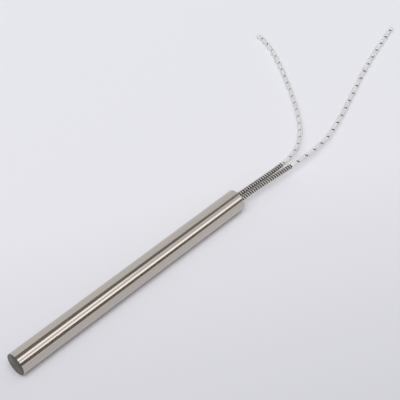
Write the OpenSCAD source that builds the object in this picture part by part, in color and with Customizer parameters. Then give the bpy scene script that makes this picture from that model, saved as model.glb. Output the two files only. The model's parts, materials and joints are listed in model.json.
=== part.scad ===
// Cartridge heater: a sheathed heating rod with two braided leads, each guarded by a spring.
// It lies along X on the plane Z = 0, with its closed end at -X and its leads at +X.

/* [Sheath] */
// Outside diameter of the sheath
sheath_d = 10; // [9:0.1:16]
// Length of the sheath from end to end
sheath_len = 125; // [80:1:250]
// Wall of the sheath tube
sheath_wall = 0.8; // [0.5:0.05:1.2]
// Radius of the round on the outer edge at the lead end
lip_r = 0.5; // [0.1:0.05:0.8]
// Chamfer on the outer edge at the closed end
edge_break = 0.3; // [0.1:0.05:0.6]
// Thickness of the disc that closes the sheath
end_disc_t = 3; // [1.5:0.1:6]

/* [Core and coil] */
// Space between the core and the sheath, for the coil and the packed oxide
core_gap = 1.7; // [1.4:0.05:2]
// Thickness of the spacer at each end of the core
spacer_t = 3; // [1.5:0.1:6]
// Diameter of the resistance wire
coil_wire = 0.5; // [0.3:0.05:0.7]
// Distance between turns of the heating coil
coil_pitch = 3; // [2:0.1:6]

/* [Terminals] */
// Diameter of a terminal pin
pin_d = 1; // [0.7:0.05:1.2]
// Depth of the short pin in the core
pin_depth = 8; // [4:0.5:14]
// Wall of a crimp sleeve around its pin
crimp_wall = 0.25; // [0.15:0.05:0.35]
// Length of a crimp sleeve
crimp_len = 8; // [5:0.5:12]
// Space in the bushing past each end of a crimp sleeve
crimp_room = 3; // [0.5:0.5:6]
// Thickness of the cement seal behind the springs
seal_floor = 5; // [2:0.5:10]
// Depth of the seal below the rim of the sheath
seal_recess = 1; // [0.3:0.1:3]

/* [Springs] */
// Width of the flat spring wire, along the spring
spring_width = 0.6; // [0.4:0.05:0.8]
// Thickness of the flat spring wire
spring_thick = 0.3; // [0.2:0.05:0.6]
// Distance between turns of a lead spring
spring_pitch = 1.25; // [1:0.05:2]
// Depth of a spring's seat in the seal
spring_seat = 5; // [3:0.5:8]
// Space between the two springs in the seal
spring_space = 0.2; // [0.2:0.05:0.8]
// Length of the right spring outside the sheath
spring_out_right = 32; // [20:0.5:40]
// Length of the left spring outside the sheath
spring_out_left = 29.5; // [20:0.5:40]

/* [Leads] */
// Diameter of a lead conductor
conductor_d = 0.8; // [0.4:0.05:1]
// Wall of the sleeve that keeps a conductor clear of its spring
insulation_wall = 0.35; // [0.1:0.05:0.4]
// Wall of the braid
braid_wall = 0.35; // [0.3:0.05:0.9]
// Bare conductor past the end of the braid
bare_end = 0.5; // [0.2:0.1:4]

/* [Fits] */
// Radial clearance between pieces that fit into each other
clear = 0.05; // [0.02:0.01:0.08]

/* [Hidden] */

$fn = 64;
axis_z = sheath_d / 2;
bore_r = sheath_d / 2 - sheath_wall;
plug_r = bore_r - clear;
core_d = 2 * (bore_r - core_gap);
core_count = 5;
overcut = 1;

// Each layer of a lead is sized by the one inside it
insulation_d = conductor_d + 2 * (clear + insulation_wall);
braid_d = insulation_d + 2 * (clear + braid_wall);
crimp_d = pin_d + 2 * (clear + crimp_wall);

// Flat spring wire: its thickness lies across the lead, and its width along it
// The points of a turn lie a little wide, so that the straight pieces between them clear the sleeve
spring_steps = 16;
spring_r = (insulation_d / 2 + clear + spring_thick / 2) / cos(180 / spring_steps);
spring_d = 2 * spring_r + spring_thick;
strip_corners = [[1, 1], [-1, 1], [-1, -1], [1, -1]];
spring_strip = [for (v = strip_corners) [v[0] * spring_thick, v[1] * spring_width] / 2];
lead_gap = spring_d + spring_space;

// Stations along X, from the closed end to the rim at the lead end
closed_x = -sheath_len / 2;
rim_x = sheath_len / 2;
spacer_x = closed_x + end_disc_t;
core_x = spacer_x + spacer_t;
seat_x = rim_x - seal_recess - spring_seat;
seal_x = seat_x - seal_floor;
bushing_len = crimp_len + 2 * crimp_room;
bushing_x = seal_x - bushing_len;
top_x = bushing_x - spacer_t;
core_len = (top_x - core_x) / core_count;
crimp_x = bushing_x + crimp_room;
crimp_mid = crimp_x + crimp_len / 2;

// Sides of the two leads: the right one lies at -Y, the left one at +Y
RIGHT = -1;
LEFT = 1;

// Heating coil: its turns lie on the core, and a tail at each end bends in to a pin
// The points of a turn lie a little wide, so that the straight pieces between them clear the core
coil_steps = 12;
coil_sides = 6;
coil_r = (core_d / 2 + clear + coil_wire / 2) / cos(180 / coil_steps);
coil_bend = coil_wire;
bend_step = 30;
tail_r = lead_gap / 2 + pin_d / 2 + clear;
tail_turn = atan(coil_bend / tail_r);
slot_depth = coil_wire + 2 * clear;
coil_low_x = core_x - slot_depth / 2;
coil_high_x = top_x + slot_depth / 2;
coil_turns = floor((coil_high_x - coil_low_x) / coil_pitch);
coil_start = 180 + tail_turn;
coil_angle = 360 * coil_turns + 180 - 2 * tail_turn;

// Routes of the leads: distance from the rim, distance to the left of the lead's place at the rim, and
// height as a share of the way from a lead that lies on the plane (0) to the axis of the sheath (1)
straight_out = 4;
route_right = [
    [10, -0.15, 1], [16, -0.5, 1], [22, -0.95, 1], [28, -1.45, 1], [34, -1.75, 0.95], [40, -1.85, 0.86],
    [46, -1.7, 0.73], [53, -1, 0.57], [60, 0.45, 0.42], [68, 2.9, 0.26], [76, 5.85, 0.14], [84, 9.1, 0.06],
    [92, 12.45, 0.01], [100, 15.75, 0], [108, 18.9, 0], [116, 21.85, 0], [125, 24.85, 0], [134, 27.6, 0],
    [143.5, 30.4, 0]
];
route_left = [
    [10, -0.25, 1], [16, -0.5, 1], [22, -0.75, 1], [28, -0.8, 1], [34, -0.35, 0.95], [39, 0.65, 0.87],
    [44, 2.6, 0.75], [50, 6.35, 0.6], [56, 11.6, 0.43], [62, 18.4, 0.28], [67, 25, 0.16], [72, 32.1, 0.07],
    [76, 38.2, 0.02], [80, 44.6, 0], [84, 51.5, 0], [87.5, 58.4, 0], [90, 65.2, 0], [91.3, 71.7, 0]
];
route_steps = 6;
lead_sides = 8;
lead_step = 3.5;

function unit(v) = v / norm(v);

// Point at share u of the stretch from point i to point i + 1 of a smooth line through points p
function smooth_point(p, i, u) =
    let (
        a = p[max(i - 1, 0)],
        b = p[i],
        c = p[i + 1],
        d = p[min(i + 2, len(p) - 1)]
    )
    0.5 * (2 * b + (c - a) * u + (2 * a - 5 * b + 4 * c - d) * u * u + (3 * b - a - 3 * c + d) * u * u * u);

function smooth_line(p, steps) = [
    for (i = [0 : len(p) - 2]) for (k = [0 : steps - 1]) smooth_point(p, i, k / steps),
    p[len(p) - 1]
];

// Length of line q up to each of its points
function run(q) = [
    for (i = 0, s = 0; i < len(q); s = s + (i + 1 < len(q) ? norm(q[i + 1] - q[i]) : 0), i = i + 1) s
];

// Line q as three tables of run against X, Y and Z
function tables(q) = let (s = run(q)) [for (k = [0 : 2]) [for (i = [0 : len(q) - 1]) [s[i], q[i][k]]]];

function at(table, s) = [for (k = [0 : 2]) lookup(s, table[k])];

function along(table, s, h) = unit(at(table, s + h) - at(table, s - h));

// Direction of line q at point i
function heading(q, i) = unit(q[min(i + 1, len(q) - 1)] - q[max(i - 1, 0)]);

function round_section(r, sides) =
    [for (k = [0 : sides - 1]) r * [cos(360 * k / sides), sin(360 * k / sides)]];

// Section set about point c, square to direction t, with its first axis square to direction up
function ring(c, t, up, section) =
    let (
        n = unit(cross(up, t)),
        b = cross(t, n)
    )
    [for (v = section) c + v[0] * n + v[1] * b];

// Skin between rings of points, closed from the last ring to the first, or by a cap at each end
module skin(rings, sides, closed) {
    count = len(rings);
    last = closed ? count - 1 : count - 2;
    walls = [
        for (i = [0 : last]) for (k = [0 : sides - 1])
            let (
                j = (i + 1) % count,
                m = (k + 1) % sides,
                near = i * sides,
                far = j * sides
            )
            each [[near + k, far + k, near + m], [far + k, far + m, near + m]]
    ];
    caps = closed ? [] : [
        [for (k = [0 : sides - 1]) k],
        [for (k = [sides - 1 : -1 : 0]) (count - 1) * sides + k]
    ];
    polyhedron([for (g = rings) each g], concat(walls, caps));
}

// Bar of a given section along line q, with one direction of ups for each point
module bar(q, ups, section) {
    skin([for (i = [0 : len(q) - 1]) ring(q[i], heading(q, i), ups[i], section)], len(section), false);
}

// Line q as straight pieces of about one length
function spaced(q, step) =
    let (
        table = tables(q),
        end = line_end(q),
        count = round(end / step)
    )
    [for (i = [0 : count]) at(table, end * i / count)];

// Places on a lead between two runs, at the ends of the straight pieces that all its layers share
function lead_runs(table, from, to) =
    concat([from], [for (k = table[0]) if (min(k[0] - from, to - k[0]) > lead_step / 10) k[0]], [to]);

function lead_ring(table, s, r) =
    ring(at(table, s), along(table, s, lead_step / 2), [0, 0, 1], round_section(r, lead_sides));

module lead_bar(table, from, to, r) {
    skin([for (s = lead_runs(table, from, to)) lead_ring(table, s, r)], lead_sides, false);
}

module lead_tube(table, from, to, r, inner_r) {
    runs = lead_runs(table, from, to);
    outer = [for (s = runs) lead_ring(table, s, r)];
    inner = [for (i = [len(runs) - 1 : -1 : 0]) lead_ring(table, runs[i], inner_r)];
    skin(concat(outer, inner), lead_sides, true);
}

// Whole line of a lead from the middle of its crimp sleeve to its tip
function lead_line(side, points) =
    let (
        inside = [for (x = [crimp_mid - rim_x, seal_x - rim_x, 0, straight_out]) [x, 0, 1]],
        low = braid_d / 2
    )
    [for (p = smooth_line(concat(inside, points), route_steps))
        [rim_x + p[0], side * lead_gap / 2 + p[1], low + (axis_z - low) * max(p[2], 0)]];

function line_end(q) = run(q)[len(q) - 1];

right_line = spaced(lead_line(RIGHT, route_right), lead_step);
left_line = spaced(lead_line(LEFT, route_left), lead_step);
right_table = tables(right_line);
left_table = tables(left_line);
right_tip = line_end(right_line);
left_tip = line_end(left_line);
seal_run = seal_x - crimp_mid;
seat_run = seat_x - crimp_mid;
rim_run = rim_x - crimp_mid;

// Places children at station x on the axis of the sheath, with Z turned along +X
module on_axis(x) {
    translate([x, 0, axis_z]) rotate([0, 90, 0]) children();
}

// Places children at station x on the centre line of one lead
module on_lead(x, side) {
    translate([0, side * lead_gap / 2, 0]) on_axis(x) children();
}

// Hole along one lead from station x
module lead_hole(x, length, d, side) {
    on_lead(x, side) cylinder(h = length, d = d + 2 * clear);
}

// Sheath

module sheath_outline() {
    square([sheath_d / 2 - edge_break, sheath_len - lip_r]);
    translate([0, edge_break]) square([sheath_d / 2, sheath_len - lip_r - edge_break]);
    polygon([[0, 0], [sheath_d / 2 - edge_break, 0], [sheath_d / 2, edge_break], [0, edge_break]]);
    square([sheath_d / 2 - lip_r, sheath_len]);
    translate([sheath_d / 2 - lip_r, sheath_len - lip_r]) circle(lip_r);
}

module sheath() {
    color([0.72, 0.71, 0.69])
        on_axis(closed_x) difference() {
            rotate_extrude() sheath_outline();
            translate([0, 0, -overcut]) cylinder(h = sheath_len + 2 * overcut, r = bore_r);
        }
}

module end_disc() {
    color([0.5, 0.5, 0.49]) on_axis(closed_x) cylinder(h = end_disc_t, r = plug_r);
}

// Core and coil

// Slot in a spacer from station x, for the coil tail that leaves the turns at angle a
module tail_slot(x, a, behind) {
    width = coil_bend + coil_wire / 2 + clear;
    on_axis(x) rotate([0, 0, a + 90]) translate([lead_gap / 2, behind ? -width : 0, 0])
        cube([core_d, width, slot_depth]);
}

module bottom_spacer() {
    color([0.93, 0.91, 0.85]) difference() {
        on_axis(spacer_x) cylinder(h = spacer_t, d = core_d);
        tail_slot(core_x - slot_depth, coil_start, true);
        lead_hole(core_x - slot_depth, slot_depth + overcut, pin_d, RIGHT);
    }
}

module top_spacer() {
    color([0.93, 0.91, 0.85]) difference() {
        on_axis(top_x) cylinder(h = spacer_t, d = core_d);
        tail_slot(top_x, coil_start + coil_angle, false);
        for (side = [RIGHT, LEFT])
            lead_hole(top_x - overcut, spacer_t + 2 * overcut, pin_d, side);
    }
}

// Core piece of a given number, counted from the closed end
module core(number) {
    x = core_x + (number - 1) * core_len;
    color([0.95, 0.94, 0.9]) difference() {
        on_axis(x) cylinder(h = core_len, d = core_d);
        for (side = [RIGHT, LEFT])
            lead_hole(x - overcut, core_len + 2 * overcut, pin_d, side);
    }
}

// Point of the coil at station x, radius r and angle a, with a = 0 towards the left pin
function coil_point(x, r, a) = [x, r * cos(a), axis_z + r * sin(a)];

// Tail from a pin out to the coil: straight along a line beside the radius, then round a bend
function tail_line(x, a, way) = [
    for (v = concat([[tail_r, coil_bend]], [for (t = [0 : bend_step : 90 - bend_step])
        [coil_r - coil_bend + coil_bend * sin(t), coil_bend * cos(t)]]))
        let (r = norm(v), off = atan2(v[1], v[0])) coil_point(x, r, a - way * off)
];

function reversed(q) = [for (i = [len(q) - 1 : -1 : 0]) q[i]];

module heating_coil() {
    count = ceil(coil_angle / 360 * coil_steps);
    turns = [for (i = [0 : count]) let (u = i / count)
        coil_point(coil_low_x + (coil_high_x - coil_low_x) * u, coil_r, coil_start + coil_angle * u)];
    low_tail = tail_line(coil_low_x, coil_start, 1);
    high_tail = reversed(tail_line(coil_high_x, coil_start + coil_angle, -1));
    q = concat(low_tail, turns, high_tail);
    color([0.42, 0.4, 0.38]) bar(q, [for (p = q) [1, 0, 0]], round_section(coil_wire / 2, coil_sides));
}

module fill() {
    inner_r = coil_r + coil_wire / 2 + clear;
    color([0.88, 0.86, 0.8]) difference() {
        on_axis(spacer_x) cylinder(h = bushing_x - spacer_x, r = plug_r);
        on_axis(spacer_x - overcut) cylinder(h = bushing_x - spacer_x + 2 * overcut, r = inner_r);
    }
}

// Terminals

module bushing() {
    color([0.94, 0.92, 0.86]) difference() {
        on_axis(bushing_x) cylinder(h = bushing_len, r = plug_r);
        for (side = [RIGHT, LEFT])
            lead_hole(bushing_x - overcut, bushing_len + 2 * overcut, crimp_d, side);
    }
}

module end_seal() {
    color([0.85, 0.82, 0.76]) difference() {
        on_axis(seal_x) cylinder(h = seal_floor + spring_seat, r = plug_r);
        for (side = [RIGHT, LEFT]) {
            lead_hole(seal_x - overcut, seal_floor + 2 * overcut, insulation_d, side);
            lead_hole(seat_x, spring_seat + overcut, spring_d, side);
        }
    }
}

// Terminal pin of one side, from station x to the middle of its crimp sleeve
module pin(side, x) {
    color([0.75, 0.73, 0.68]) on_lead(x, side) cylinder(h = crimp_mid - x, d = pin_d);
}

module crimp(side) {
    color([0.7, 0.68, 0.64]) difference() {
        on_lead(crimp_x, side) cylinder(h = crimp_len, d = crimp_d);
        lead_hole(crimp_x - overcut, crimp_len / 2 + overcut, pin_d, side);
        lead_hole(crimp_x, crimp_len + overcut, conductor_d, side);
    }
}

// Leads

module conductor(table, tip) {
    color([0.6, 0.58, 0.55]) lead_bar(table, clear, tip, conductor_d / 2);
}

module insulation(table, tip) {
    color([0.35, 0.33, 0.31])
        lead_tube(table, seal_run, tip - bare_end, insulation_d / 2, insulation_d / 2 - insulation_wall);
}

// Spring on a lead, from its seat in the seal to a given run past the rim
module spring(table, out) {
    from = seat_run + spring_width / 2 + clear;
    to = rim_run + out - spring_width / 2;
    count = ceil((to - from) / spring_pitch * spring_steps);
    runs = [for (i = [0 : count]) from + (to - from) * i / count];
    axes = [for (s = runs) along(table, s, spring_pitch)];
    turn = round_section(spring_r, spring_steps);
    q = [for (i = [0 : count]) ring(at(table, runs[i]), axes[i], [0, 0, 1], turn)[i % spring_steps]];
    color([0.45, 0.45, 0.45]) bar(q, axes, spring_strip);
}

module braid(table, out, tip) {
    color([0.93, 0.93, 0.91])
        lead_tube(table, rim_run + out + clear, tip - bare_end, braid_d / 2, braid_d / 2 - braid_wall);
}

sheath();
end_disc();
bottom_spacer();
core(1);  // core_1
core(2);  // core_2
core(3);  // core_3
core(4);  // core_4
core(5);  // core_5
top_spacer();
heating_coil();
fill();
bushing();
end_seal();
pin(RIGHT, core_x - slot_depth + clear);  // pin_right
pin(LEFT, top_x - pin_depth);  // pin_left
crimp(RIGHT);  // crimp_right
crimp(LEFT);  // crimp_left
conductor(right_table, right_tip);  // conductor_right
conductor(left_table, left_tip);  // conductor_left
insulation(right_table, right_tip);  // insulation_right
insulation(left_table, left_tip);  // insulation_left
spring(right_table, spring_out_right);  // spring_right
spring(left_table, spring_out_left);  // spring_left
braid(right_table, spring_out_right, right_tip);  // braid_right
braid(left_table, spring_out_left, left_tip);  // braid_left
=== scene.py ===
import json
import math

import bmesh
import bpy
import numpy as np
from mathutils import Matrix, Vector


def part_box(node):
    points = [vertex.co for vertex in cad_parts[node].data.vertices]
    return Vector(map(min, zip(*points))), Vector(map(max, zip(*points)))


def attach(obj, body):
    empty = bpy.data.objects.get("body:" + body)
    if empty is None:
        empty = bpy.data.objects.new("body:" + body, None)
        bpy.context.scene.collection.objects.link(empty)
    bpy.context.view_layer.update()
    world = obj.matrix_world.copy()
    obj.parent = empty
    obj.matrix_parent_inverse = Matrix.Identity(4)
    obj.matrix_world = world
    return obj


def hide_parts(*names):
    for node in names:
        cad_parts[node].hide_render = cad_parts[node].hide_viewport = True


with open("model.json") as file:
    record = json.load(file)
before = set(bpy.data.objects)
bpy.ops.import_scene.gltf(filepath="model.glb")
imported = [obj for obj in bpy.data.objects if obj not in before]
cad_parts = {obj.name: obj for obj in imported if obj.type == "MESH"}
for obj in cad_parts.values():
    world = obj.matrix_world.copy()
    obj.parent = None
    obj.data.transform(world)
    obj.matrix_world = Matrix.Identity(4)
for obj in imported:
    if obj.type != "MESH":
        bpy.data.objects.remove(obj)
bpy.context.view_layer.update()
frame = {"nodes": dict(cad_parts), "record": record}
record = frame["record"]
nodes = frame["nodes"]
scene = bpy.context.scene
scene.view_settings.view_transform = "Standard"
mm = 0.001


# Camera, as the photograph was taken: a long lens that looks down along the rod from its closed end
cameraSet = {
    "target": Vector((0.0509, 0.0112, 0.005)),
    "yaw": 44.96,  # degrees from +Y towards +X
    "elevation": 47.18,
    "distance": 0.5557,
    "lens": 114.0,  # on a sensor of 36 mm
    "clip": (0.01, 50),
}


def addCamera():
    yaw = math.radians(cameraSet["yaw"])
    down = math.radians(cameraSet["elevation"])
    look = Vector((math.sin(yaw) * math.cos(down), math.cos(yaw) * math.cos(down), -math.sin(down)))
    data = bpy.data.cameras.new("camera")
    data.lens = cameraSet["lens"]
    data.clip_start, data.clip_end = cameraSet["clip"]
    camera = bpy.data.objects.new("camera", data)
    camera.location = cameraSet["target"] - look * cameraSet["distance"]
    camera.rotation_euler = look.to_track_quat("-Z", "Y").to_euler()
    scene.collection.objects.link(camera)
    scene.camera = camera


addCamera()
print("camera set")


# Materials

def linear(code):
    # sRGB hex to the linear colour that the shader takes
    parts = [int(code[i:i + 2], 16) / 255 for i in (1, 3, 5)]
    return [c / 12.92 if c <= 0.04045 else ((c + 0.055) / 1.055) ** 2.4 for c in parts] + [1.0]


def addNode(tree, kind, settings=None, links=None):
    # settings: node properties, socket values or the stops of a colour ramp (place and colour)
    # links: socket name to the output that feeds it
    node = tree.nodes.new(kind)
    for name, value in (settings or {}).items():
        if name == "stops":
            elements = node.color_ramp.elements
            for at, code in value[2:]:
                elements.new(at)
            for element, (at, code) in zip(elements, value):
                element.position = at
                element.color = linear(code)
        elif name in node.inputs:
            node.inputs[name].default_value = value
        else:
            setattr(node, name, value)
    for name, output in (links or {}).items():
        tree.links.new(output, node.inputs[name])
    return node


def startMaterial(name):
    mat = bpy.data.materials.new(name)
    mat.use_nodes = True
    tree = mat.node_tree
    tree.nodes.clear()
    place = addNode(tree, "ShaderNodeTexCoord")
    return mat, tree, place


patternLow, patternHigh = 0.3, 0.7  # most of a pattern's values lie between these


def waveScale(spacing):
    # scale at which the bands of a wave pattern lie this far apart
    return math.pi / (10 * spacing)


groundSteelSet = {
    "dark": "#bfb8af", "light": "#ccc5bd",
    "lineWidth": 0.25,  # mm between grinding marks
    "smudge": 7.0,  # mm across faint handling marks
    "smooth": 0.13, "rough": 0.17,
    "relief": 0.004,  # mm
}


def groundSteel():
    # stainless tube, centreless ground: fine marks run round it, so highlights stretch along the rod
    mat, tree, place = startMaterial("ground stainless steel")
    split = addNode(tree, "ShaderNodeSeparateXYZ", links={"Vector": place.outputs["Object"]})
    marks = addNode(tree, "ShaderNodeTexNoise", {
        "noise_dimensions": "1D", "Scale": 1 / (groundSteelSet["lineWidth"] * mm), "Detail": 3.0,
    }, {"W": split.outputs["X"]})
    smudge = addNode(tree, "ShaderNodeTexNoise", {
        "Scale": 1 / (groundSteelSet["smudge"] * mm), "Detail": 4.0, "Roughness": 0.6,
    }, {"Vector": place.outputs["Object"]})
    colour = addNode(tree, "ShaderNodeValToRGB", {
        "stops": ((patternLow, groundSteelSet["dark"]), (patternHigh, groundSteelSet["light"])),
    }, {"Fac": marks.outputs["Fac"]})
    rough = addNode(tree, "ShaderNodeMapRange", {
        "From Min": patternLow, "From Max": patternHigh,
        "To Min": groundSteelSet["smooth"], "To Max": groundSteelSet["rough"],
    }, {"Value": smudge.outputs["Fac"]})
    bump = addNode(tree, "ShaderNodeBump", {"Strength": 0.05, "Distance": groundSteelSet["relief"] * mm}, {
        "Height": marks.outputs["Fac"],
    })
    tangent = addNode(tree, "ShaderNodeTangent", {"direction_type": "RADIAL", "axis": "X"})
    shader = addNode(tree, "ShaderNodeBsdfPrincipled", {
        "Metallic": 1.0, "Anisotropic": 0.9, "Anisotropic Rotation": 0.25,
    }, {
        "Base Color": colour.outputs["Color"], "Roughness": rough.outputs["Result"],
        "Normal": bump.outputs["Normal"], "Tangent": tangent.outputs["Tangent"],
    })
    addNode(tree, "ShaderNodeOutputMaterial", links={"Surface": shader.outputs["BSDF"]})
    return mat


turnedSteelSet = {
    "dark": "#57554f", "light": "#6d6b65",
    "feed": 0.3,  # mm between turning marks
    "blotch": 1.6,  # mm across patches of scale
    "smooth": 0.30, "rough": 0.42,
    "relief": 0.02,  # mm
}


def turnedSteel(axisZ):
    # closed end, faced on a lathe and left dull, with a little scale from the closing weld
    mat, tree, place = startMaterial("turned stainless steel")
    centred = addNode(tree, "ShaderNodeMapping", {"Location": (0, 0, -axisZ)}, {
        "Vector": place.outputs["Object"],
    })
    rings = addNode(tree, "ShaderNodeTexWave", {
        "wave_type": "RINGS", "rings_direction": "X", "Distortion": 0.6,
        "Scale": waveScale(turnedSteelSet["feed"] * mm),
    }, {"Vector": centred.outputs["Vector"]})
    blotch = addNode(tree, "ShaderNodeTexNoise", {
        "Scale": 1 / (turnedSteelSet["blotch"] * mm), "Detail": 5.0, "Roughness": 0.65,
    }, {"Vector": place.outputs["Object"]})
    colour = addNode(tree, "ShaderNodeValToRGB", {
        "stops": ((patternLow, turnedSteelSet["dark"]), (patternHigh, turnedSteelSet["light"])),
    }, {"Fac": blotch.outputs["Fac"]})
    rough = addNode(tree, "ShaderNodeMapRange", {
        "From Min": patternLow, "From Max": patternHigh,
        "To Min": turnedSteelSet["smooth"], "To Max": turnedSteelSet["rough"],
    }, {"Value": blotch.outputs["Fac"]})
    bump = addNode(tree, "ShaderNodeBump", {"Strength": 0.25, "Distance": turnedSteelSet["relief"] * mm}, {
        "Height": rings.outputs["Fac"],
    })
    tangent = addNode(tree, "ShaderNodeTangent", {"direction_type": "RADIAL", "axis": "X"})
    shader = addNode(tree, "ShaderNodeBsdfPrincipled", {
        "Metallic": 1.0, "Anisotropic": 0.8, "Anisotropic Rotation": 0.25,
    }, {
        "Base Color": colour.outputs["Color"], "Roughness": rough.outputs["Result"],
        "Normal": bump.outputs["Normal"], "Tangent": tangent.outputs["Tangent"],
    })
    addNode(tree, "ShaderNodeOutputMaterial", links={"Surface": shader.outputs["BSDF"]})
    return mat


springWireSet = {
    "dark": "#c4c0bb", "light": "#dedad5",
    "patch": 0.6,  # mm across patches of oxide
    "roll": 0.05,  # mm between rolling marks along the wire
    "rough": 0.45,
    "relief": 0.005,  # mm
}


def springWire():
    # spring wire, rolled flat, oiled and a little oxidised: grey, with soft long highlights
    mat, tree, place = startMaterial("flat spring wire")
    patch = addNode(tree, "ShaderNodeTexNoise", {
        "Scale": 1 / (springWireSet["patch"] * mm), "Detail": 3.0,
    }, {"Vector": place.outputs["Object"]})
    marks = addNode(tree, "ShaderNodeTexWave", {
        "bands_direction": "Y", "Distortion": 2.0, "Detail": 2.0,
        "Scale": waveScale(springWireSet["roll"]),  # the UV map is in mm
    }, {"Vector": place.outputs["UV"]})
    colour = addNode(tree, "ShaderNodeValToRGB", {
        "stops": ((patternLow, springWireSet["dark"]), (patternHigh, springWireSet["light"])),
    }, {"Fac": patch.outputs["Fac"]})
    bump = addNode(tree, "ShaderNodeBump", {"Strength": 0.1, "Distance": springWireSet["relief"] * mm}, {
        "Height": marks.outputs["Fac"],
    })
    shader = addNode(tree, "ShaderNodeBsdfPrincipled", {
        "Metallic": 1.0, "Roughness": springWireSet["rough"],
    }, {
        "Base Color": colour.outputs["Color"], "Normal": bump.outputs["Normal"],
    })
    addNode(tree, "ShaderNodeOutputMaterial", links={"Surface": shader.outputs["BSDF"]})
    return mat


yarnSet = {
    "filament": 0.06,  # mm between filaments, drawn coarse so that they show close up
    "slub": 2.4,  # mm along thicker and thinner stretches
    "depth": 0.3,  # mm that light goes into the glass
    "relief": 0.02,  # mm
}


def glassYarn(name, dark, light, rough):
    # glass-fibre yarn: a flat bundle of straight filaments with a silky sheen, which lets some light through
    mat, tree, place = startMaterial(name)
    filaments = addNode(tree, "ShaderNodeTexWave", {
        "bands_direction": "Y", "Distortion": 1.5, "Detail": 2.0, "Detail Scale": 0.5,
        "Scale": waveScale(yarnSet["filament"]),
    }, {"Vector": place.outputs["UV"]})
    slub = addNode(tree, "ShaderNodeTexNoise", {"Scale": 1 / (yarnSet["slub"] * mm), "Detail": 3.0}, {
        "Vector": place.outputs["Object"],
    })
    colour = addNode(tree, "ShaderNodeValToRGB", {"stops": ((patternLow, dark), (patternHigh, light))}, {
        "Fac": slub.outputs["Fac"],
    })
    bump = addNode(tree, "ShaderNodeBump", {"Strength": 0.4, "Distance": yarnSet["relief"] * mm}, {
        "Height": filaments.outputs["Fac"],
    })
    shader = addNode(tree, "ShaderNodeBsdfPrincipled", {
        "Roughness": rough, "Sheen Weight": 0.25, "IOR": 1.55, "Subsurface Weight": 0.8,
        "Subsurface Radius": (1, 1, 1), "Subsurface Scale": yarnSet["depth"] * mm,
    }, {
        "Base Color": colour.outputs["Color"], "Normal": bump.outputs["Normal"],
    })
    addNode(tree, "ShaderNodeOutputMaterial", links={"Surface": shader.outputs["BSDF"]})
    return mat


sleeveGlassSet = {
    "dark": "#161413", "light": "#221f1d",
    "weave": 0.4,  # mm between ridges of the weave
    "rough": 0.45,
    "relief": 0.02,  # mm
}


def sleeveGlass():
    # thin glass sleeve under the spring, near-black brown, so that the gaps between the spring's turns show
    # dark
    mat, tree, place = startMaterial("varnished glass sleeve")
    weave = addNode(tree, "ShaderNodeTexWave", {
        "bands_direction": "DIAGONAL", "Distortion": 0.8, "Scale": waveScale(sleeveGlassSet["weave"]),
    }, {"Vector": place.outputs["UV"]})
    colour = addNode(tree, "ShaderNodeValToRGB", {
        "stops": ((patternLow, sleeveGlassSet["dark"]), (patternHigh, sleeveGlassSet["light"])),
    }, {"Fac": weave.outputs["Fac"]})
    bump = addNode(tree, "ShaderNodeBump", {"Strength": 0.3, "Distance": sleeveGlassSet["relief"] * mm}, {
        "Height": weave.outputs["Fac"],
    })
    shader = addNode(tree, "ShaderNodeBsdfPrincipled", {"Roughness": sleeveGlassSet["rough"], "IOR": 1.55}, {
        "Base Color": colour.outputs["Color"], "Normal": bump.outputs["Normal"],
    })
    addNode(tree, "ShaderNodeOutputMaterial", links={"Surface": shader.outputs["BSDF"]})
    return mat


def plainMetal(name, dark, light, rough, grain):
    # drawn wire and pins inside the rod: faint patches of tarnish, grain in mm
    mat, tree, place = startMaterial(name)
    patch = addNode(tree, "ShaderNodeTexNoise", {"Scale": 1 / (grain * mm), "Detail": 4.0}, {
        "Vector": place.outputs["Object"],
    })
    colour = addNode(tree, "ShaderNodeValToRGB", {"stops": ((patternLow, dark), (patternHigh, light))}, {
        "Fac": patch.outputs["Fac"],
    })
    shader = addNode(tree, "ShaderNodeBsdfPrincipled", {"Metallic": 1.0, "Roughness": rough}, {
        "Base Color": colour.outputs["Color"],
    })
    addNode(tree, "ShaderNodeOutputMaterial", links={"Surface": shader.outputs["BSDF"]})
    return mat


def mineral(name, dark, light, rough, grain, depth):
    # fired, packed or cast mineral: matt, with grains of the given size and relief in mm
    mat, tree, place = startMaterial(name)
    grains = addNode(tree, "ShaderNodeTexNoise", {
        "Scale": 1 / (grain * mm), "Detail": 6.0, "Roughness": 0.6,
    }, {"Vector": place.outputs["Object"]})
    colour = addNode(tree, "ShaderNodeValToRGB", {"stops": ((patternLow, dark), (patternHigh, light))}, {
        "Fac": grains.outputs["Fac"],
    })
    bump = addNode(tree, "ShaderNodeBump", {"Strength": 0.5, "Distance": depth * mm}, {
        "Height": grains.outputs["Fac"],
    })
    shader = addNode(tree, "ShaderNodeBsdfPrincipled", {"Roughness": rough}, {
        "Base Color": colour.outputs["Color"], "Normal": bump.outputs["Normal"],
    })
    addNode(tree, "ShaderNodeOutputMaterial", links={"Surface": shader.outputs["BSDF"]})
    return mat


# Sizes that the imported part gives

pinMount = next(m for m in record["mounts"] if m["name"] == "sheath_pin")
axisZ = pinMount["pos_m"][2]
sheathR = pinMount["dims"]["r_mm"] * mm
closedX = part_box("sheath")[0].x
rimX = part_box("sheath")[1].x
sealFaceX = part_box("end_seal")[1].x
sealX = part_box("end_seal")[0].x
discR = (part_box("end_disc")[1].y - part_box("end_disc")[0].y) / 2
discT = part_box("end_disc")[1].x - closedX
leadY = (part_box("pin_left")[0].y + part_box("pin_left")[1].y) / 2  # each lead leaves this far off the axis
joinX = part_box("pin_left")[1].x  # lead wire and pin meet inside the crimp sleeve


sharpFrom = math.radians(32)  # edges that turn more than this stay sharp
weld = 1e-4 * mm  # points closer than this become one


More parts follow.
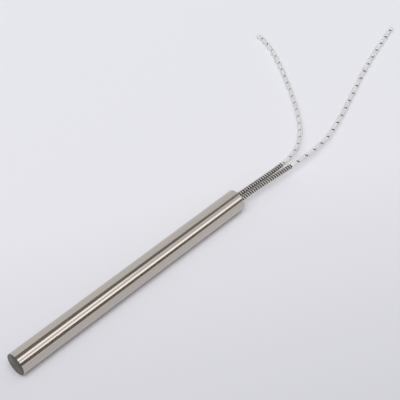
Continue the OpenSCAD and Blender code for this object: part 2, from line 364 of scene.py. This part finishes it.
def addPiece(name, bm, mats, slot, *replaced):
    mesh = bpy.data.meshes.new(name)
    bm.to_mesh(mesh)
    bm.free()
    for mat in mats:
        mesh.materials.append(mat)
    mesh.shade_smooth()
    mesh.set_sharp_from_angle(angle=sharpFrom)
    piece = bpy.data.objects.new(name, mesh)
    scene.collection.objects.link(piece)
    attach(piece, "root")
    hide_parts(*replaced)
    return piece


# Leads

clear = 0.05 * mm  # between pieces that fit together
leadSet = {
    "wire": 0.8 * mm,  # conductor
    "sleeve": 1.6 * mm,
    "sleeveWall": 0.35 * mm,
    "sleeveSides": 16,
    "braid": 2.4 * mm,
    "bareEnd": 0.5 * mm,
    "straightOut": 0.004,
    "smoothSteps": 24,
    "reach": 1.2 * mm,  # to both sides of a point, for the way of the lead there
    "points": 120,
}
# Routes: metres past the rim, metres to the left of the lead's own place, and height as a share of the
# way from lying on the floor (0) to the axis of the rod (1)
routeRight = [
    (0.010, -0.00015, 1), (0.016, -0.0005, 1), (0.022, -0.00095, 1), (0.028, -0.00145, 1),
    (0.034, -0.00175, 0.95), (0.040, -0.00185, 0.86), (0.046, -0.0017, 0.73), (0.053, -0.001, 0.57),
    (0.060, 0.00045, 0.42), (0.068, 0.0029, 0.26), (0.076, 0.00585, 0.14), (0.084, 0.0091, 0.06),
    (0.092, 0.01245, 0.01), (0.100, 0.01575, 0), (0.108, 0.0189, 0), (0.116, 0.02185, 0),
    (0.125, 0.02485, 0), (0.134, 0.0276, 0), (0.1435, 0.0304, 0),
]
routeLeft = [
    (0.010, -0.00025, 1), (0.016, -0.0005, 1), (0.022, -0.00075, 1), (0.028, -0.0008, 1),
    (0.034, -0.00035, 0.95), (0.039, 0.00065, 0.87), (0.044, 0.0026, 0.75), (0.050, 0.00635, 0.6),
    (0.056, 0.0116, 0.43), (0.062, 0.0184, 0.28), (0.067, 0.025, 0.16), (0.072, 0.0321, 0.07),
    (0.076, 0.0382, 0.02), (0.080, 0.0446, 0), (0.084, 0.0515, 0), (0.0875, 0.0584, 0),
    (0.090, 0.0652, 0), (0.0913, 0.0717, 0),
]


def leadLine(side, route):
    # smooth line through the route, with the run along it, from the crimp sleeve to the tip
    inside = [(x, 0, 1) for x in (joinX - rimX, sealX - rimX, 0, leadSet["straightOut"])]
    pts = np.array(inside + route, float)
    pts = np.vstack([pts[0], pts, pts[-1]])
    share = np.arange(leadSet["smoothSteps"])[:, None] / leadSet["smoothSteps"]
    line = []
    for a, b, c, d in zip(pts, pts[1:], pts[2:], pts[3:]):
        bend = (c - a) * share + (2 * a - 5 * b + 4 * c - d) * share ** 2
        line.append(b + 0.5 * (bend + (3 * b - a - 3 * c + d) * share ** 3))
    line = np.vstack(line + [pts[-1:]])
    low = leadSet["braid"] / 2
    line[:, 0] += rimX
    line[:, 1] += side * leadY
    line[:, 2] = low + (axisZ - low) * np.maximum(line[:, 2], 0)
    runs = np.concatenate([[0], np.cumsum(np.linalg.norm(np.diff(line, axis=0), axis=1))])
    return runs, line


def lineAt(lead, runs):
    return np.stack([np.interp(runs, lead[0], lead[1][:, k]) for k in range(3)], axis=1)


def unit(rows):
    return rows / np.linalg.norm(rows, axis=1, keepdims=True)


def leadFrames(lead, runs):
    # place, way to the left and way up at each run of a lead
    along = unit(lineAt(lead, runs + leadSet["reach"]) - lineAt(lead, runs - leadSet["reach"]))
    left = unit(np.cross((0, 0, 1), along))
    return lineAt(lead, runs), left, np.cross(along, left)


def addSweep(bm, centres, across, outward, width, height, sides, matIndex=0, blunt=1.0):
    # bar along the centres, rolled up from a grid, with its UV map in mm along and round it: its section is
    # an oval, or a flat strip with rounded edges where blunt is under 1
    steps = len(centres) - 1
    uvMap = bm.loops.layers.uv.verify()
    turn = np.linspace(0, 2 * math.pi, sides + 1)[None, :, None]
    wide, high = (np.sign(v) * np.abs(v) ** blunt / 2 for v in (np.cos(turn), np.sin(turn)))
    rings = centres[:, None, :] + width * wide * across[:, None, :] + height * high * outward[:, None, :]
    long = np.linalg.norm(np.diff(centres, axis=0), axis=1).sum() / mm
    girth = np.linalg.norm(np.diff(rings[0], axis=0), axis=1).sum() / mm
    verts = bmesh.ops.create_grid(bm, x_segments=steps, y_segments=sides, size=0.5, calc_uvs=True)["verts"]
    faces = {f for v in verts for f in v.link_faces}
    for f in faces:
        f.material_index = matIndex
        for loop in f.loops:
            loop[uvMap].uv = (loop[uvMap].uv.x * long, loop[uvMap].uv.y * girth)
    for v in verts:
        v.co = rings[round((v.co.x + 0.5) * steps), round((v.co.y + 0.5) * sides)]
    bmesh.ops.remove_doubles(bm, verts=verts, dist=weld)


def closeEnds(bm, sides):
    bmesh.ops.holes_fill(bm, edges=[e for e in bm.edges if e.is_boundary], sides=sides)
    bmesh.ops.recalc_face_normals(bm, faces=bm.faces)


springSet = {
    "width": 0.6 * mm,  # of the flat wire, along the spring
    "thick": 0.3 * mm,
    "pitch": 1.25 * mm,
    "seat": 5 * mm,
    "cadSteps": 16,  # points in one turn of the solid, whose length of wire this spring shares
    "steps": 32,
    "sides": 12,
    "blunt": 0.5,  # flat section with rounded edges
}


def springLine(lead, out):
    # helix of the spring wire, from its seat in the seal to a given run past the rim
    seatRun = sealFaceX - springSet["seat"] - joinX
    start = seatRun + springSet["width"] / 2 + clear
    end = rimX - joinX + out - springSet["width"] / 2
    turns = math.ceil((end - start) / springSet["pitch"] * springSet["cadSteps"]) / springSet["cadSteps"]
    runs = np.linspace(start, end, round(turns * springSet["steps"]) + 1)
    angle = (np.linspace(0, turns, len(runs)) * 2 * math.pi)[:, None]
    place, left, up = leadFrames(lead, runs)
    outward = np.cos(angle) * left + np.sin(angle) * up
    midR = leadSet["sleeve"] / 2 + clear + springSet["thick"] / 2
    return place + midR / math.cos(math.pi / springSet["cadSteps"]) * outward, outward


def spring(name, lead, out, mats, node):
    bm = bmesh.new()
    line, outward = springLine(lead, out)
    across = unit(np.cross(outward, np.gradient(line, axis=0)))
    addSweep(
        bm, line, across, outward, springSet["width"], springSet["thick"], springSet["sides"],
        blunt=springSet["blunt"],
    )
    closeEnds(bm, springSet["sides"])
    return addPiece(name, bm, mats, "spring_steel", node)


braidSet = {
    "lay": {"right": 5.78 * mm, "left": 5.03 * mm},  # length of one turn of a yarn
    "yarns": 6,  # in each direction
    "width": 0.66 * mm,
    "thick": 0.19 * mm,
    "steps": 32,  # points in one turn
    "sides": 6,
    "tracer": {"right": 2, "left": 5},  # the dark yarn of each lead
    "face": {"right": (123, 112), "left": (121, 72)},  # degrees round the lead where it shows, near and far
    "twist": 25 * mm,  # run over which the braid turns from the near to the far place
    "flare": 0.12 * mm,  # how far the cut ends spread
    "flareLong": 1.2 * mm,
    "uneven": 0.15 * mm, "unevenStep": 2.4,  # yarns are cut a little unevenly
    "press": 1.5,  # how much of its way a yarn stays fully over or under
    "shift": 0.25,  # of the space between yarns, so that each is on top where it crosses the face
}


def braid(word, lead, out, mats):
    # two sets of yarns wound against each other, each over two and under two
    bm = bmesh.new()
    start = rimX - joinX + out + clear
    end = lead[0][-1] - leadSet["bareEnd"]
    yarns, lay, thick = braidSet["yarns"], braidSet["lay"][word], braidSet["thick"]
    midR = leadSet["braid"] / 2 - thick  # middle of the two layers of yarn
    count = round((end - start) / lay * braidSet["steps"])
    for way in (1, -1):
        for i in range(yarns):
            cut = braidSet["uneven"] * math.sin(braidSet["unevenStep"] * i + way)
            runs = np.linspace(start, end + cut, count + 1)
            crossing = 2 * yarns * (runs - start) / lay
            wave = np.cos(math.pi / 2 * (way * crossing + 2 * (i - braidSet["shift"])))
            over = way * np.clip(braidSet["press"] * wave, -1, 1)
            face = np.interp(runs - start, (0, braidSet["twist"]), braidSet["face"][word])
            turn = (i - braidSet["shift"]) / yarns + way * (runs - start) / lay
            angle = np.radians(face) + 2 * math.pi * turn
            place, left, up = leadFrames(lead, runs)
            outward = np.cos(angle)[:, None] * left + np.sin(angle)[:, None] * up
            spread = braidSet["flare"] * np.clip((runs - end) / braidSet["flareLong"] + 1, 0, 1) ** 2
            radius = midR + over * thick / 2 - spread
            line = place + radius[:, None] * outward
            across = unit(np.cross(outward, np.gradient(line, axis=0)))
            dark = way == 1 and i == braidSet["tracer"][word]
            addSweep(bm, line, across, outward, braidSet["width"], thick, braidSet["sides"], int(dark))
    closeEnds(bm, braidSet["sides"])
    piece = addPiece(f"leadBraid_{word}", bm, mats, "glass_braid", f"braid_{word}")
    return piece, lineAt(lead, np.linspace(start, end, leadSet["points"])), end - start


strandSet = {"outer": 6, "lay": 7 * mm, "steps": 10, "sides": 6}


def conductor(name, lead, mats, node):
    # one straight strand with six laid round it, so that three lie across the wire
    bm = bmesh.new()
    strand = leadSet["wire"] / 3
    start, end = clear, lead[0][-1]
    runs = np.linspace(start, end, round((end - start) / strandSet["lay"] * strandSet["steps"]))
    place, left, up = leadFrames(lead, runs)
    addSweep(bm, place, left, up, strand, strand, strandSet["sides"])
    for i in range(strandSet["outer"]):
        angle = (2 * math.pi * (i / strandSet["outer"] + runs / strandSet["lay"]))[:, None]
        outward = np.cos(angle) * left + np.sin(angle) * up
        line = place + strand * outward
        across = unit(np.cross(outward, np.gradient(line, axis=0)))
        addSweep(bm, line, across, outward, strand, strand, strandSet["sides"])
    closeEnds(bm, strandSet["sides"])
    return addPiece(name, bm, mats, "nickel", node)


def sleeve(name, lead, mats, node):
    bm = bmesh.new()
    runs = np.linspace(sealX - joinX, lead[0][-1] - leadSet["bareEnd"], leadSet["points"])
    place, left, up = leadFrames(lead, runs)
    addSweep(bm, place, left, up, leadSet["sleeve"], leadSet["sleeve"], leadSet["sleeveSides"])
    bmesh.ops.recalc_face_normals(bm, faces=bm.faces)
    bmesh.ops.solidify(bm, geom=bm.faces[:], thickness=leadSet["sleeveWall"])
    return addPiece(name, bm, mats, "glass_sleeve", node)


springMats = [springWire()]
whiteYarn = glassYarn("white glass yarn", "#e8e8e9", "#f2f2f3", 0.62)
tracerMats = {
    "right": glassYarn("dark grey glass yarn", "#47474a", "#58585b", 0.5),
    "left": glassYarn("grey glass yarn", "#87878b", "#96969a", 0.5),
}
nickelMat = plainMetal("drawn nickel wire", "#8d8880", "#a8a297", 0.35, 0.4)
sleeveMat = sleeveGlass()
leadPieces = []
leadSides = {  # side of the axis, metres of spring past the rim, and route
    "right": (-1, 0.032, routeRight),
    "left": (1, 0.0295, routeLeft),
}
for word, (side, out, route) in leadSides.items():
    lead = leadLine(side, route)
    leadSpring = spring(f"leadSpring_{word}", lead, out, springMats, f"spring_{word}")
    leadWire = conductor(f"leadWire_{word}", lead, [nickelMat], f"conductor_{word}")
    leadSleeve = sleeve(f"leadSleeve_{word}", lead, [sleeveMat], f"insulation_{word}")
    leadBraid, path, length = braid(word, lead, out, [whiteYarn, tracerMats[word]])
    leadPieces += [leadSpring, leadWire, leadSleeve, leadBraid]
    print(word, "lead made, braid", round(length / mm, 1), "mm")


# Rod

rodSet = {
    "edgeBreak": 0.3 * mm, "edgeSegments": 2,  # closed end
    "lip": 0.5 * mm, "lipSegments": 6,  # lead end
    "discBreak": 0.08 * mm,
    "facing": -0.3,  # faces whose normal is below this along X belong to the closed end
    "steps": 192,  # round the rod
    "match": 0.01 * mm,  # edges this close to a rim belong to it
}


def spun(bm, profile):
    # closed outline of (x, radius) points, spun about the axis of the rod
    verts = [bm.verts.new((x, 0, axisZ + r)) for x, r in profile]
    edges = [bm.edges.new((a, b)) for a, b in zip(verts, verts[1:])]
    if profile[0][1] > 0:
        edges.append(bm.edges.new((verts[-1], verts[0])))
    bmesh.ops.spin(
        bm, geom=verts + edges, cent=(0, 0, axisZ), axis=(1, 0, 0), dvec=(0, 0, 0),
        angle=2 * math.pi, steps=rodSet["steps"], use_merge=True,
    )
    bmesh.ops.remove_doubles(bm, verts=bm.verts, dist=weld)
    bmesh.ops.recalc_face_normals(bm, faces=bm.faces)


def breakRim(bm, x, r, size, segments):
    # bevel of the edges that lie round the axis at station x and radius r
    def onRim(v):
        off = math.hypot(v.co.y, v.co.z - axisZ) - r
        return abs(v.co.x - x) < rodSet["match"] and abs(off) < rodSet["match"]

    bmesh.ops.bevel(
        bm, geom=[e for e in bm.edges if all(onRim(v) for v in e.verts)], offset=size, offset_type="OFFSET",
        affect="EDGES", segments=segments, profile=0.5, material=-1,
    )


def sheathTube():
    bm = bmesh.new()
    bore = discR + clear
    spun(bm, [(closedX, bore), (closedX, sheathR), (rimX, sheathR), (rimX, bore)])
    breakRim(bm, closedX, sheathR, rodSet["edgeBreak"], rodSet["edgeSegments"])
    breakRim(bm, rimX, sheathR, rodSet["lip"], rodSet["lipSegments"])
    bm.normal_update()
    for face in bm.faces:
        if face.normal.x < rodSet["facing"]:
            face.material_index = 1  # the closed end is faced off together with its disc
    return addPiece("sheathTube", bm, [groundSteel(), endMat], "stainless", "sheath")


def closingDisc():
    bm = bmesh.new()
    spun(bm, [(closedX, 0), (closedX, discR), (closedX + discT, discR), (closedX + discT, 0)])
    breakRim(bm, closedX, discR, rodSet["discBreak"], rodSet["edgeSegments"])
    return addPiece("closingDisc", bm, [endMat], "end_steel", "end_disc")


endMat = turnedSteel(axisZ)
sheathTube()
closingDisc()
print("rod made")


# Inner pieces keep their solids and get their finish here

innerMats = [
    (mineral("steatite ceramic", "#e9e4d8", "#f4f1e8", 0.6, 0.3, 0.01), [
        "bottom_spacer", "core_1", "core_2", "core_3", "core_4", "core_5", "top_spacer", "bushing",
    ]),
    (mineral("packed magnesium oxide", "#d3cdbd", "#e6e1d4", 0.9, 0.2, 0.03), ["fill"]),
    (mineral("sealing cement", "#b9b1a0", "#d8d1c2", 0.85, 0.6, 0.08), ["end_seal"]),
    (plainMetal("oxidised resistance wire", "#57524d", "#6f6963", 0.5, 0.8), ["heating_coil"]),
    (nickelMat, ["pin_right", "pin_left", "crimp_right", "crimp_left"]),
]
for mat, names in innerMats:
    for name in names:
        nodes[name].data.materials.clear()
        nodes[name].data.materials.append(mat)
print("inner pieces finished")


# Floor and studio light

floorSet = {
    "paintedFalloffTones": ((0.0, "#d3d3d9"), (0.45, "#e7e7ec"), (1.0, "#eaebef")),  # near to far: painted light falloff, darker near the camera and paler far off
    "way": (0.5, 0.866, 0), "from": -0.08, "to": 0.20,  # metres along the way that the tone changes
    "size": 3.0, "drop": 0.01 * mm,
}


def addFloor():
    bm = bmesh.new()
    bmesh.ops.create_grid(bm, x_segments=1, y_segments=1, size=floorSet["size"])
    bmesh.ops.translate(bm, verts=bm.verts, vec=(0, 0, -floorSet["drop"]))
    mesh = bpy.data.meshes.new("floor")
    bm.to_mesh(mesh)
    bm.free()
    mat, tree, place = startMaterial("pale paper with painted falloff")
    far = addNode(tree, "ShaderNodeVectorMath", {"operation": "DOT_PRODUCT"}, {0: place.outputs["Object"]})
    far.inputs[1].default_value = floorSet["way"]
    share = addNode(tree, "ShaderNodeMapRange", {"From Min": floorSet["from"], "From Max": floorSet["to"]}, {
        "Value": far.outputs["Value"],
    })
    # painted light falloff: the floor's colour runs from darker near the camera to paler far off
    paintedFalloff = addNode(tree, "ShaderNodeValToRGB", {"stops": floorSet["paintedFalloffTones"]}, {"Fac": share.outputs["Result"]})
    shader = addNode(tree, "ShaderNodeBsdfPrincipled", {"Roughness": 0.8, "Specular IOR Level": 0.0}, {
        "Base Color": paintedFalloff.outputs["Color"],
    })
    addNode(tree, "ShaderNodeOutputMaterial", links={"Surface": shader.outputs["BSDF"]})
    mesh.materials.append(mat)
    floor = bpy.data.objects.new("floor", mesh)
    scene.collection.objects.link(floor)


skySet = {"place": (-0.8, -1.85, 6.0), "size": (4.8, 4.2)}  # one panel, lit in three parts
lightSet = {
    # name: middle of the panel, its size along X and Y, its brightness, and what it lights
    "skyPanel": (skySet["place"], skySet["size"], 0.95, "matt"),
    "wrapPanel": (skySet["place"], skySet["size"], 2.3, "floor"),  # passes the leads, for faint shadows
    "leadPanel": (skySet["place"], skySet["size"], 2.3, "leads"),
    "topPanel": ((-2.0, -0.3, 3.0), (2.2, 2.2), 2.0, "both"),
    "nearPanel": ((-0.11, -0.14, 0.6), (0.58, 0.18), 0.76, "metal"),
    "frontPanel": ((0.15, -0.58, 0.6), (1.5, 0.32), 0.9, "metal"),
}
flagSet = {
    # name: colour and corners of a grey-brown card that only reflections see
    "backFlag": (
        "#948d87", (-0.6, -0.02, 0.59), (0.9, -0.065, 0.59), (0.9, 0.07, 0.59), (-0.6, 0.46, 0.59),
    ),
    "frontFlag": (
        "#9b938a", (-0.6, -0.5, 0.12), (0.9, -0.5, 0.12), (0.9, -0.5, 0.25), (-0.6, -0.5, 0.574),
    ),
}
worldSet = {"colour": "#f4f4f6", "soft": 0.46, "mirrored": 0.855}  # strength for matt surfaces and the rest


def leadGroup(state):
    # the lead pieces, as the only ones that a lamp reaches or as the only ones it leaves out
    group = bpy.data.collections.new("leads")
    for piece in leadPieces:
        group.objects.link(piece)
    for item in group.collection_objects:
        item.light_linking.link_state = state
    return group


def addLights():
    leadsOnly, leadsOut = leadGroup("INCLUDE"), leadGroup("EXCLUDE")
    for name, (place, size, bright, target) in lightSet.items():
        data = bpy.data.lights.new(name, "AREA")
        data.shape = "RECTANGLE"
        data.size, data.size_y = size
        data.energy = bright * math.pi * size[0] * size[1]  # so that the panel's radiance is as written
        lamp = bpy.data.objects.new(name, data)
        lamp.location = place
        lamp.visible_glossy = target in ("metal", "both")
        lamp.visible_diffuse = target != "metal"
        if target == "floor":
            lamp.light_linking.receiver_collection = leadsOut
            lamp.light_linking.blocker_collection = leadsOut
        elif target == "leads":
            lamp.light_linking.receiver_collection = leadsOnly
        scene.collection.objects.link(lamp)


def addFlags():
    for name, (colour, *corners) in flagSet.items():
        mat, tree, place = startMaterial("matt card")
        shader = addNode(tree, "ShaderNodeBsdfPrincipled", {
            "Base Color": linear(colour), "Roughness": 0.9, "Specular IOR Level": 0.0,
        })
        addNode(tree, "ShaderNodeOutputMaterial", links={"Surface": shader.outputs["BSDF"]})
        bm = bmesh.new()
        bm.faces.new([bm.verts.new(p) for p in corners])
        mesh = bpy.data.meshes.new(name)
        bm.to_mesh(mesh)
        bm.free()
        mesh.materials.append(mat)
        card = bpy.data.objects.new(name, mesh)
        scene.collection.objects.link(card)
        card.visible_camera = False
        card.visible_diffuse = False
        card.visible_shadow = False


def addWorld():
    # reflections and the camera see a paler room than the one that lights matt surfaces
    world = bpy.data.worlds.new("studio")
    scene.world = world
    world.use_nodes = True
    tree = world.node_tree
    tree.nodes.clear()
    path = addNode(tree, "ShaderNodeLightPath")
    seen = addNode(tree, "ShaderNodeMath", {"operation": "MAXIMUM"}, {
        0: path.outputs["Is Camera Ray"], 1: path.outputs["Is Glossy Ray"],
    })
    strength = addNode(tree, "ShaderNodeMapRange", {
        "To Min": worldSet["soft"], "To Max": worldSet["mirrored"],
    }, {"Value": seen.outputs["Value"]})
    back = addNode(tree, "ShaderNodeBackground", {"Color": linear(worldSet["colour"])}, {
        "Strength": strength.outputs["Result"],
    })
    addNode(tree, "ShaderNodeOutputWorld", links={"Surface": back.outputs["Background"]})


addFloor()
addLights()
addFlags()
addWorld()
print("studio set")
